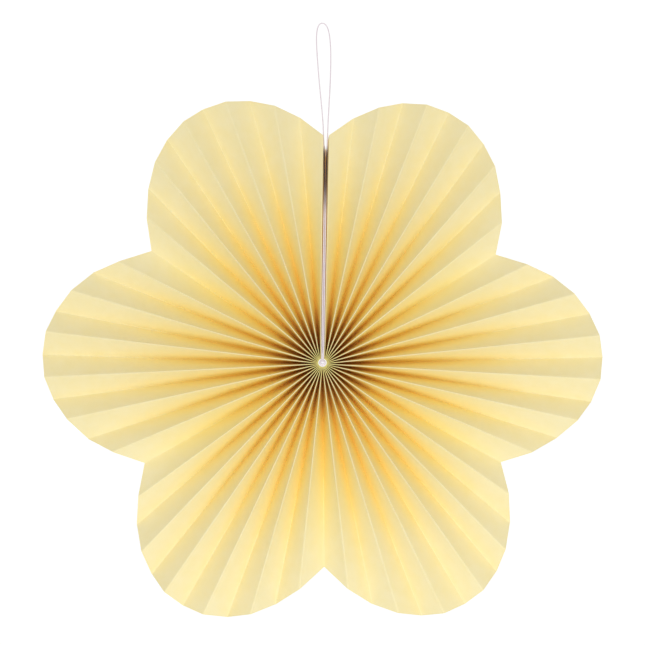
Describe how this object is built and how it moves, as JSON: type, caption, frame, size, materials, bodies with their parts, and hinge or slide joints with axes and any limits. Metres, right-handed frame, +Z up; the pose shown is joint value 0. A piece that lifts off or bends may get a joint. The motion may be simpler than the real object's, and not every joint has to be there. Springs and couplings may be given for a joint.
{
  "type": "paper fan rosette",
  "caption": "Pleated paper rosette with a scalloped, flower-shaped edge and a loop of pale thread to hang it by.",
  "frame": {"origin": "centre of the hub hole, midway between the front folds and the back folds", "axes": "+Z up along the hanging direction, +X across the flower to the right, -Y out of the front face"},
  "size_m": [0.3, 0.0197, 0.3181],
  "materials": {
    "yellow_paper": "uncoated coloured paper, matte, pale yellow",
    "tape": "thin translucent double-sided adhesive tape",
    "pale_thread": "twisted three-ply thread, off-white with a lilac cast and a soft sheen"
  },
  "bodies": {
    "root": {"pleated_sheet": "yellow_paper", "seam_tape": "tape", "hanging_thread": "pale_thread", "thread_knot": "pale_thread"}
  },
  "joints": []
}
